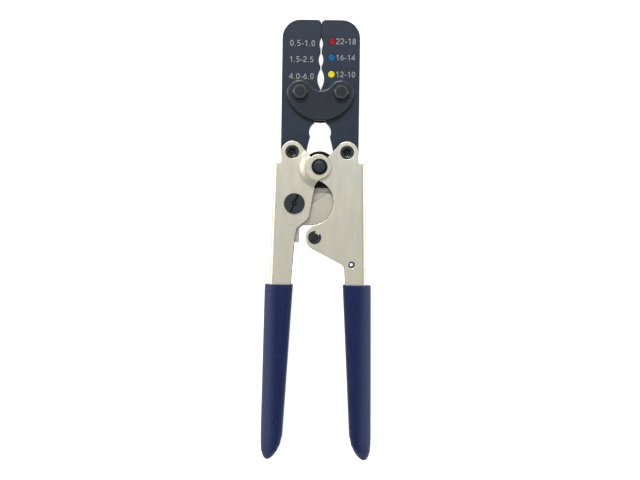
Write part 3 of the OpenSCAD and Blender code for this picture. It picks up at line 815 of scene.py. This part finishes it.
def handle_mesh(front, rear, holes, points=()):
    """One flat sheet: the front flange's path from shoulder to end, the web, and the rear flange
    back again. The holes and the points are in both flanges."""
    bend = [L_BEND * k / 7 for k in range(8)]
    ts = bend + [L_BEND + L_WEB * k / 3 for k in (1, 2)] + [L_BEND + L_WEB + t for t in bend]
    top, end = front[0][1], front[-1][1]
    loop = [flat_front(p) for p in front[:-1]] + [np.array([t, end]) for t in ts] \
        + [flat_rear(p) for p in rear[:-1]][::-1] + [np.array([t, top]) for t in ts[::-1]]
    lines = [((t, top - SHEET_EDGE), (t, end + SHEET_EDGE)) for t in ts]
    loops = [loop] + [[flat(p) for p in h] for flat in (flat_front, flat_rear) for h in holes]
    pts = [q for p in points for q in (flat_front(p), flat_rear(p))]
    b = Builder()
    # the walls and two lowest edge steps take the painted shade
    plate(b, loops, -SHEET / 2, SHEET / 2, SHEET_EDGE, pts, lines, steps=4, wall=1, shade_steps=2)
    return b


# Both ends of a flange's edge: from the bend over the shoulder and round the jaw tail's lug, and at
# the handle's end back to the bend.
START, LUG_X = (bend_x(SHOULDER_Y), SHOULDER_Y), PIN_R[0] + LUG_R
FLANGE_TOP = [np.array(START)] + corner(START, (LUG_X, SHOULDER_Y), (LUG_X, PIN_R[1]), NOTCH_R) \
    + arc(PIN_R, LUG_R, 0, 90 + LUG_A, 4)
FLANGE_END = [np.array(INNER_END), np.array([bend_x(INNER_END[1]), INNER_END[1]])]


def right_path(window):
    """The right handle's flange edge from the shoulder to the end of the handle."""
    path = FLANGE_TOP + arc((0, 0), HUB_R, LUG_A, 255 if window else 268, 4)
    if window:
        a0, a1 = (math.degrees(math.atan2(y - WINDOW_C[1], x - WINDOW_C[0]))
                  for x, y in (WINDOW_TOP, WINDOW_LOW))
        path += arc(WINDOW_C, WINDOW_R, a0, a1, 3)
    else:
        path += [np.array(p) for p in [(-0.9, -9.2), (-2.68, -12), (-2.92, -13), (-3.2, -14.6),
                                       (-4.1, -20.3), (-4.75, -25.6), (-5.2, -29), (-4, -34.9)]]
    path += arc(BOSS_C, BOSS_R, 123, 244, 4)
    return path + corner((-3.28, -49.22), (15.8, -59.0), INNER_END, 5, 5) + FLANGE_END


def left_path():
    """The left handle's flange edge, drawn mirrored on the right."""
    path = FLANGE_TOP + spaced([FLANGE_TOP[-1], EAR_C + polar(EAR_R, LUG_A)], 0.5)
    path += arc(EAR_C, EAR_R, LUG_A, 256, 4)
    down = [(-0.2, -7.95), (0.45, -8.5), (1.15, -9.15), (1.8, -9.95), (2.3, -10.8), (2.65, -11.6),
            (2.9, -12.3)]
    path += spaced([path[-1], down[0]], 0.5) + spaced(down, 0.5)
    path += spaced([down[-1], (3.6, -16.0)], 0.6)
    knee = [down[-1], (6.2, -31.2), (13.4, -37.1), INNER_TOP, INNER_END]
    for k, r in ((1, 5.5), (2, 4), (3, 8)):
        path += corner(*knee[k - 1:k + 2], r, 4)
    return path + FLANGE_END


def ramp_points(path):
    """Points on the flange where the sheet ramps up to the raised ear."""
    flange = np.array(path)
    points = []
    for k in range(10):
        for a in np.arange(0, 360, 7.5):
            p = polar(8.0 + k * 0.6, a + (3.75 if k % 2 else 0))
            clear = np.min(np.linalg.norm(flange - p, axis=1)) > 0.7
            if inside(p, [flange]) and clear and np.linalg.norm(p - PIN_R) > 4.6:
                points.append(p)
    return points


tail_hole = circle(PIN_R, TAIL_PIN_HOLE)
holes = [tail_hole, circle(PAWL, PAWL_HOLE, 32), circle(ANCHOR, ANCHOR_HOLE, 28),
         circle((0, 0), HUB_HOLE)]
piece("right_handle", handle_mesh(right_path(True), right_path(False), holes), ["sheet", "cut"],
      warp=fold(False))

path = left_path()
holes = [tail_hole, circle((-ADJUSTER[0], ADJUSTER[1]), ADJUSTER_HOLE), circle((0, 0), EAR_HOLE)]
piece("left_handle", handle_mesh(path, path, holes, ramp_points(path)), ["sheet", "cut"],
      warp=fold(True), mirror=True)

# ---- Pins, spacer, adjuster ----

# The staked end of a tail pin: radius, depth below the end, waviness.
STAKED = [(3.78, 0.08, 0), (3.6, 0.01, 0), (3.4, 0, 0), (3.05, 0.05, 0), (2.85, 0.2, 0.02),
          (2.7, 0.32, 0.05), (2.35, 0.36, 0.09), (2.1, 0.55, 0.14), (1.9, 1.3, 0.16),
          (1.5, 1.75, 0.1), (0.9, 1.85, 0), (0.5, 1.6, 0), (0.001, 1.5, 0)]
# The rings inside the hollow take a painted shade.
SHADED_RINGS = 9  # the last ones, inside the hollow
TAIL_PIN_R, TAIL_PIN_N = 3.85, 72


def tail_pin(node, c):
    """Riveted pin: a narrow rim at each end round a staked hollow with a wavy edge."""
    hi = z_span(node)[1]
    end = [(TAIL_PIN_R, CHANNEL_Z - 1.0, 0), (TAIL_PIN_R, CHANNEL_Z + 0.05, 0)] \
        + [(r, hi - depth, wave) for r, depth, wave in STAKED]
    a = np.linspace(0, 2 * math.pi, TAIL_PIN_N, endpoint=False)
    rings = []
    for r, z, wave in [(r, -z, wave) for r, z, wave in end[::-1]] + end:
        rr = r * (1 + wave * np.cos(5 * a + c[0]))
        rings.append(np.c_[c[0] + rr * np.cos(a), c[1] + rr * np.sin(a), np.full(TAIL_PIN_N, z)])
    core = len(end) - SHADED_RINGS
    b = Builder()
    # painted shade inside the hollow at each end
    skin(b, rings[:core + 1], 1)
    skin(b, rings[core:-core])
    skin(b, rings[-core - 1:], 1)
    piece(node, b, ["pin", "flank"])


tail_pin("left_tail_pin", PIN_L)
tail_pin("right_tail_pin", PIN_R)

low, high = z_span("center_pin")
ring_low, ring_high = z_span("center_ring")
b = Builder()
# painted shade: the pin's side and chamfer are black, for the shade in the gap round the snap ring
lathe(b, (0, 0), [(0, low), (4.7, low), (5.25, low + 0.35), (5.3, -EAR_Z - 0.12), (4, -EAR_Z - 0.1),
                  (4, ring_low), (3.55, ring_low + 0.02), (3.55, ring_high + 0.05),
                  (3.98, ring_high + 0.07), (3.98, high - 0.45), (3.35, high - 0.06)], 72, mat=1)
lathe(b, (0, 0), [(3.35, high - 0.06), (3.2, high), (1.2, high - 0.02), (0, high - 0.02)], 72)
piece("center_pin", b, ["hammered", "spacer"])

# The snap ring in the centre pin's groove, open at 25 degrees.
OPEN_A, GAP_A = 25, 16
b = Builder()
loop = arc((0, 0), 4.68, OPEN_A + GAP_A, OPEN_A + 360 - GAP_A, 5) \
    + arc((0, 0), 3.58, OPEN_A + 360 - GAP_A * 1.3, OPEN_A + GAP_A * 1.3, 5)
plate(b, [loop], ring_low, ring_high, 0.12, steps=2)
piece("center_ring", b, ["spacer"])

# The spacer between the ears: a disc with a square foot.
HUB_OUT, FOOT_X, HUB_BORE = 9.6, 7, 4.05
low, high = corners("hub_spacer")
b = Builder()
foot_a = math.degrees(math.asin(FOOT_X / HUB_OUT))
loop = arc((0, 0), HUB_OUT, -90 + foot_a, 270 - foot_a, 4)
loop += corner((-FOOT_X, 0), (-FOOT_X, low[1]), (FOOT_X, low[1]), 0.8)
loop += corner((-FOOT_X, low[1]), (FOOT_X, low[1]), (FOOT_X, 0), 0.8)
plate(b, [loop, circle((0, 0), HUB_BORE)], low[2], high[2], 0.3)
piece("hub_spacer", b, ["spacer"])

SLOT_A, SLOT_HALF, SLOT_DEPTH, SLOT_MIDDLE_R = 68.0, 0.55, 0.7, 1.6


def adjuster(node, c):
    """A slotted disc on a shank with a groove. The slot is a long blind hole with round ends, and
    a wider middle with a small point in it."""
    low, high = z_span(node)
    r = radius(node)
    seat = CHANNEL_Z + 0.05
    u, n = polar(1, SLOT_A), polar(1, SLOT_A + 90)
    reach = r - 1.15
    k = math.degrees(math.asin(SLOT_HALF / SLOT_MIDDLE_R))
    slot = arc((reach, 0), SLOT_HALF, -90, 90, 30)
    slot += arc((0, 0), SLOT_MIDDLE_R, k, 180 - k, 15)
    slot += arc((-reach, 0), SLOT_HALF, 90, 270, 30)
    slot += arc((0, 0), SLOT_MIDDLE_R, 180 + k, 360 - k, 15)
    slot = [c + u * p[0] + n * p[1] for p in slot]
    b = Builder()
    # painted shade: the slot's floor, the walls and three lowest edge steps are black
    plate(b, [circle(c, r, 72)], seat, high, 0.25, blind=[(slot, SLOT_DEPTH)], steps=4, wall=1,
          shade_steps=3, floor=1)
    floor_z = high - SLOT_DEPTH - 0.05
    lathe(b, c, [(0, floor_z), (0.55, floor_z), (0.5, high - 0.45), (0.35, high - 0.35),
                 (0, high - 0.32)], 24)
    lathe(b, c, [(0, low), (2.7, low), (3, low + 0.3), (3, -CHANNEL_Z - 1.1),
                 (2.4, -CHANNEL_Z - 1.1), (2.4, -CHANNEL_Z - 0.25), (3, -CHANNEL_Z - 0.25),
                 (3, seat + 0.1), (0, seat + 0.1)], 48)
    piece(node, b, ["blued", "spacer"])


adjuster("adjuster", ADJUSTER)


def e_clip(node, c, r_out, r_in, open_a):
    """A clip with an open side at open_a and three tabs that grip a groove of radius r_in."""
    wide = r_in + (r_out - r_in) * 0.45
    mouth = 0.85  # half width of the open side, in r_in
    a_in, a_out = math.degrees(math.asin(mouth)), math.degrees(math.asin(r_in * mouth / r_out))
    loop = arc((0, 0), r_out, a_out, 360 - a_out, 6)
    for r, a0, a1 in ((r_in, 360 - a_in, 292), (wide, 284, 220), (r_in, 212, 148),
                      (wide, 140, 76), (r_in, 68, a_in)):
        loop += arc((0, 0), r, a0, a1, 8)
    t = math.radians(open_a)
    m = np.array([[math.cos(t), math.sin(t)], [-math.sin(t), math.cos(t)]])
    b = Builder()
    plate(b, [[p @ m + c for p in loop]], *z_span(node), 0.12, steps=2)
    piece(node, b, ["bolt"])


e_clip("pawl_clip", PAWL, 3.9, 1.65, 58)
e_clip("adjuster_clip", ADJUSTER, 4.9, 2.45, 120)

low, high = z_span("pawl_pin")
b = Builder()
lathe(b, PAWL, [(0, low), (2.9, low), (3.3, low + 0.3), (3.35, -CHANNEL_Z - 0.05),
                (2.2, -CHANNEL_Z - 0.05), (2.2, CHANNEL_Z + 0.1), (1.6, CHANNEL_Z + 0.1),
                (1.6, CHANNEL_Z + 0.9), (2.2, CHANNEL_Z + 0.9), (2.2, high - 0.25),
                (1.95, high - 0.02), (1.8, high), (0, high)], 48)
piece("pawl_pin", b, ["bolt"])

# The spring's anchor is a slit tube.
TUBE_OUT, TUBE_IN = 1.85, 1.05
b = Builder()
loop = arc((0, 0), TUBE_OUT, 153, 507, 8) + arc((0, 0), TUBE_IN, 505, 155, 8)
loop = [ANCHOR + p for p in loop]
plate(b, [loop], -CHANNEL_Z + 0.02, CHANNEL_Z - 0.02, 0.15, steps=2)
piece("spring_anchor", b, ["pin"])

# ---- Ratchet ----

TEETH, PITCH, START_A = 14, 3.0, -92.0  # the teeth's number, and their pitch and start angle
TIP_R, ROOT_R, DWELL_R, SECTOR_HOLE_R = 37.2, 35.3, 35.0, 3.45


def sector_x(y):
    """Where a lamination ends, just inside the left handle's web."""
    return -(WEB_TOP_X + (SHOULDER_Y - y) * FLARE - SHEET - 0.2)


def sector(node, top):
    """A toothed lamination, of which top is the edge from its right end back to the web."""
    loop = [np.array([sector_x(-45.2), -45.2]), np.array([-11.9, -45.2])]
    loop += corner((-11.9, -45.2), (-11.9, -34.95), (-4.6, -34.7), 3.4)
    loop += arc((0, 0), DWELL_R, -97.4, START_A, 2)
    for i in range(TEETH):
        a = START_A + PITCH * i
        loop += [polar(ROOT_R, a + 0.15), polar(TIP_R, a + PITCH * 0.39),
                 polar(TIP_R, a + PITCH * 0.61), polar(ROOT_R, a + PITCH - 0.15)]
    loop += corner(polar(ROOT_R, -50), (22.6, -18), (12, -15.2), 3)
    b = Builder()
    # the walls and three lowest edge steps take the painted shade
    plate(b, [loop + top, circle(ADJUSTER, SECTOR_HOLE_R)], *z_span(node), 0.16, wall=1, shade_steps=3)
    piece(node, b, ["sector", "cut"])


sector("ratchet_sector", [np.array([4.6, -15.3]), np.array([-6.5, -23.4])]
       + corner((-6.5, -23.4), (-9.6, -15.6), (-20, -15.6), 2)
       + [np.array([sector_x(-15.6), -15.6])])
sector("sector_backing", [np.array([6, -14.7]), np.array([sector_x(-14.7), -14.7])])


def tube(out, path, r, sides):
    """A round wire along a path, with closed ends."""
    path = np.array(path)
    n = len(path)
    d = np.array([unit(path[min(i + 1, n - 1)] - path[max(i - 1, 0)]) for i in range(n)])
    u = np.cross(d[0], [0, 0, 1.0])
    rings = []
    for i in range(n):
        u = unit(u - d[i] * (u @ d[i]))
        w = np.cross(d[i], u)
        rings.append([path[i] + r * (math.cos(a) * u + math.sin(a) * w)
                      for a in np.linspace(0, 2 * math.pi, sides, endpoint=False)])
    skin(out, rings, capped=True)


WIRE_R, COIL_R, COILS, LOOP_R = 0.28, 1.55, 24, 2.3
TAIL_R, TAIL_A = 5.2, -42 - 122.7  # the spring's hole in the pawl's tail, from the pawl's middle
COIL_START, COIL_STEPS = 3.0, 16


def spring(node):
    """The spring from the pawl's tail to the anchor: a hook, the coils and an open loop."""
    line_a = math.degrees(math.atan2(-PAWL[1], -PAWL[0]))
    tail = PAWL + polar(TAIL_R, line_a + TAIL_A)
    v = ANCHOR - tail
    length, turn = np.linalg.norm(v), math.atan2(v[1], v[0])
    coil_end = length - LOOP_R - 1.9
    pts = [(0.55, 0, -1.6), (0.3, 0, -0.9), (0, 0, 0), (0.3, 0, 1.9), (1.4, 0, 2.3),
           (2.3, -0.2, 2.0)]
    for i in range(COILS * COIL_STEPS + 1):
        t = i / (COILS * COIL_STEPS)
        a = 2 * math.pi * COILS * t
        pts.append((COIL_START + (coil_end - COIL_START) * t, COIL_R * math.sin(a),
                    COIL_R * math.cos(a)))
    pts += [(coil_end + 0.7, 0.5, 1.2), (length - LOOP_R - 0.1, 0.3, 0.4)]
    pts += [(length + p[0], p[1], 0) for p in (polar(LOOP_R, a) for a in range(172, -150, -13))]
    c, s = math.cos(turn), math.sin(turn)
    b = Builder()
    tube(b, [(tail[0] + x * c - y * s, tail[1] + x * s + y * c, z) for x, y, z in pts], WIRE_R, 8)
    piece(node, b, ["wire"], weighted=False)


spring("pawl_spring")

# ---- Grips ----

(_, GRIP_TIP, _), (_, GRIP_TOP, GRIP_Z) = corners("right_grip")
GRIP_ROLL = 1.3  # the outer corners' width over their height
# Height, inner x, outer x, half depth and corner radius of the sleeve, from the top down.
GRIP_ROWS = [(GRIP_TOP, 15.0, 31.9, GRIP_Z, 6.0), (GRIP_TIP + 15, 20.1, 33.1, GRIP_Z - 0.3, 5.8),
             (GRIP_TIP + 9.6, 21.3, 33.0, GRIP_Z - 0.9, 5.4),
             (GRIP_TIP + 5.6, 23.2, 32.75, GRIP_Z - 2.5, 4.4),
             (GRIP_TIP + 2.6, 25.2, 31.9, 4.1, 3.3), (GRIP_TIP + 0.9, 27.0, 31.0, 2.6, 2.0),
             (GRIP_TIP + 0.15, 28.2, 30.0, 1.2, 0.9)]


def grip_section(y):
    """Inner x, outer x, half depth and corner radius at height y."""
    return [np.interp(-y, [-row[0] for row in GRIP_ROWS], [row[k] for row in GRIP_ROWS])
            for k in range(1, 5)]


def section_ring(x0, x1, hz, r, y, roll=1.0, n=12):
    """A rounded rectangle in the x, z plane. Its outer corners are roll times as wide as high."""
    r = min(r, hz - 0.01)
    wide = min(r * roll, (x1 - x0) * 0.62)
    inner = min(r * (2 - roll), x1 - x0 - wide - 0.02)
    low = min(inner + 0.6, r) if roll > 1 else r
    pts = []
    for cx, cz, rx, rz, a0 in ((x1 - wide, hz - r, wide, r, 0),
                               (x0 + inner, hz - low, inner, low, 90),
                               (x0 + inner, low - hz, inner, low, 180),
                               (x1 - wide, r - hz, wide, r, 270)):
        for i in range(n):
            a = math.radians(a0 + 90 * i / (n - 1))
            pts.append((cx + rx * math.cos(a), y, cz + rz * math.sin(a)))
    return np.array(pts)


def grip(node, mirror):
    """A sleeve closed at both ends. Its mouth turns in to the channel and reaches down inside."""
    width, height = INNER_END[0] - INNER_TOP[0], INNER_TOP[1] - INNER_END[1]
    x0 = INNER_TOP[0] + (INNER_TOP[1] - GRIP_TOP) * width / height
    x1 = bend_x(GRIP_TOP) + BEND_R
    rings = [section_ring(x0 - left, x1 + out, CHANNEL_Z + out, BEND_R + more, GRIP_TOP - down)
             for left, out, more, down in ((0, 0.03, 0, 6), (0, 0.03, 0, 0.5),
                                           (0.12, 0.15, 0.1, 0.15), (0.3, 0.4, 0.4, 0))]
    x0, x1, hz, r = grip_section(GRIP_TOP)
    rings += [section_ring(x0 + d, x1 - d, hz - d, r - less, GRIP_TOP - down, GRIP_ROLL)
              for d, less, down in ((0.45, 0.4, 0), (0.15, 0.1, 0.18), (0, 0, 0.55))]
    ys = [*np.linspace(GRIP_TOP - 1.0, GRIP_TIP + 16, 60),
          *np.linspace(GRIP_TIP + 15, GRIP_TIP + 0.15, 34)]
    rings += [section_ring(*grip_section(y), y, GRIP_ROLL) for y in ys]
    b = Builder()
    skin(b, rings, capped=True)
    piece(node, b, ["vinyl"], mirror=mirror, angle=60)


grip("right_grip", False)
grip("left_grip", True)

# ---- CAD nodes that show with their own shapes ----

for node in ("jaw_sleeve_left", "jaw_sleeve_right", "adjuster_washers", "pawl", "pawl_spacers"):
    for material_slot in frame["nodes"][node].material_slots:
        material_slot.material = M["steel"]

# ---- Floor, lights, camera: positions are in metres in the shared frame ----

HALF = 3.0  # half the floor's width
floor_mesh = bpy.data.meshes.new("floor")
square = [(-1, -1), (1, -1), (1, 1), (-1, 1)]
floor_mesh.from_pydata([(x * HALF, y * HALF, 0) for x, y in square], [], [(0, 1, 2, 3)])
floor = bpy.data.objects.new("floor", floor_mesh)
bpy.context.scene.collection.objects.link(floor)
s = Shade("floor_white", Roughness=0.9, Specular_IOR_Level=0.1, Emission_Color=(1.0, 1.0, 1.0),
          Emission_Strength=0.88)
s.to("Base Color", s.blend(s.noise(6, 3), 0.3, 0.7, (0.50, 0.50, 0.50), (0.54, 0.54, 0.54)))
floor_mesh.materials.append(s.mat)

# The sky is a wide soft box overhead with a darker ring round it, as (height, brightness), and is
# brighter towards the jaws by LEAN.
SKY = [(0.0, 0.60), (0.45, 0.60), (0.70, 0.56), (0.86, 0.62), (0.94, 0.80), (1.0, 0.82)]
LEAN = 0.15
world = bpy.data.worlds.new("studio")
bpy.context.scene.world = world
world.use_nodes = True
tree = world.node_tree
axes = tree.nodes.new("ShaderNodeSeparateXYZ")
tree.links.new(tree.nodes.new("ShaderNodeTexCoord").outputs["Generated"], axes.inputs[0])
sky = tree.nodes.new("ShaderNodeValToRGB")
tree.links.new(axes.outputs["Z"], sky.inputs[0])
stops = sky.color_ramp.elements
while len(stops) < len(SKY):
    stops.new(0.5)
for stop, (height, value) in zip(stops, SKY):
    stop.position = height
    stop.color = (value, value, value, 1)
lean = tree.nodes.new("ShaderNodeMath")
lean.operation = "MULTIPLY_ADD"
tree.links.new(axes.outputs["Y"], lean.inputs[0])
lean.inputs[1].default_value, lean.inputs[2].default_value = LEAN, 1.0
background = tree.nodes["Background"]
tree.links.new(sky.outputs[0], background.inputs[0])
tree.links.new(lean.outputs[0], background.inputs[1])

AIM = Vector((0, 0, 0.01))
# Name, place, width and height, power in watts. Each one faces AIM.
LIGHTS = [("key_top", (-0.15, 0.75, 0.85), (0.36, 0.16), 9.0),
          ("side_left", (-0.85, 0.15, 0.36), (0.8, 0.25), 3.2),
          ("side_right", (0.95, -0.05, 0.25), (0.9, 0.25), 2.6)]
for name, at, size, power in LIGHTS:
    data = bpy.data.lights.new(name, "AREA")
    data.shape = "RECTANGLE"
    data.size, data.size_y = size
    data.energy = power
    light = bpy.data.objects.new(name, data)
    light.location = at
    light.rotation_euler = (AIM - Vector(at)).to_track_quat("-Z", "Y").to_euler()
    bpy.context.scene.collection.objects.link(light)

PX, WIDTH = 0.5985, 640  # mm per pixel at z = FRONT, and the image's width in pixels
DIST, FRONT = 650.0, 5  # mm from z = FRONT to the camera
AIM_X, AIM_Y = 0.94, -43.65  # the point under the camera, in mm from the centre pivot
CAMERA_ROLL = math.radians(0.83)
SENSOR = 36
cam_data = bpy.data.cameras.new("camera")
cam_data.sensor_width = SENSOR
cam_data.lens = SENSOR * DIST / (WIDTH * PX)
cam_data.clip_start, cam_data.clip_end = 0.01, 20
cam = bpy.data.objects.new("camera", cam_data)
cam.location = ((CX + AIM_X) * MM, (CY + AIM_Y) * MM, (CZ + FRONT + DIST) * MM)
cam.rotation_euler = (0, 0, CAMERA_ROLL)
bpy.context.scene.collection.objects.link(cam)
bpy.context.scene.camera = cam
bpy.context.scene.view_settings.view_transform = "Standard"
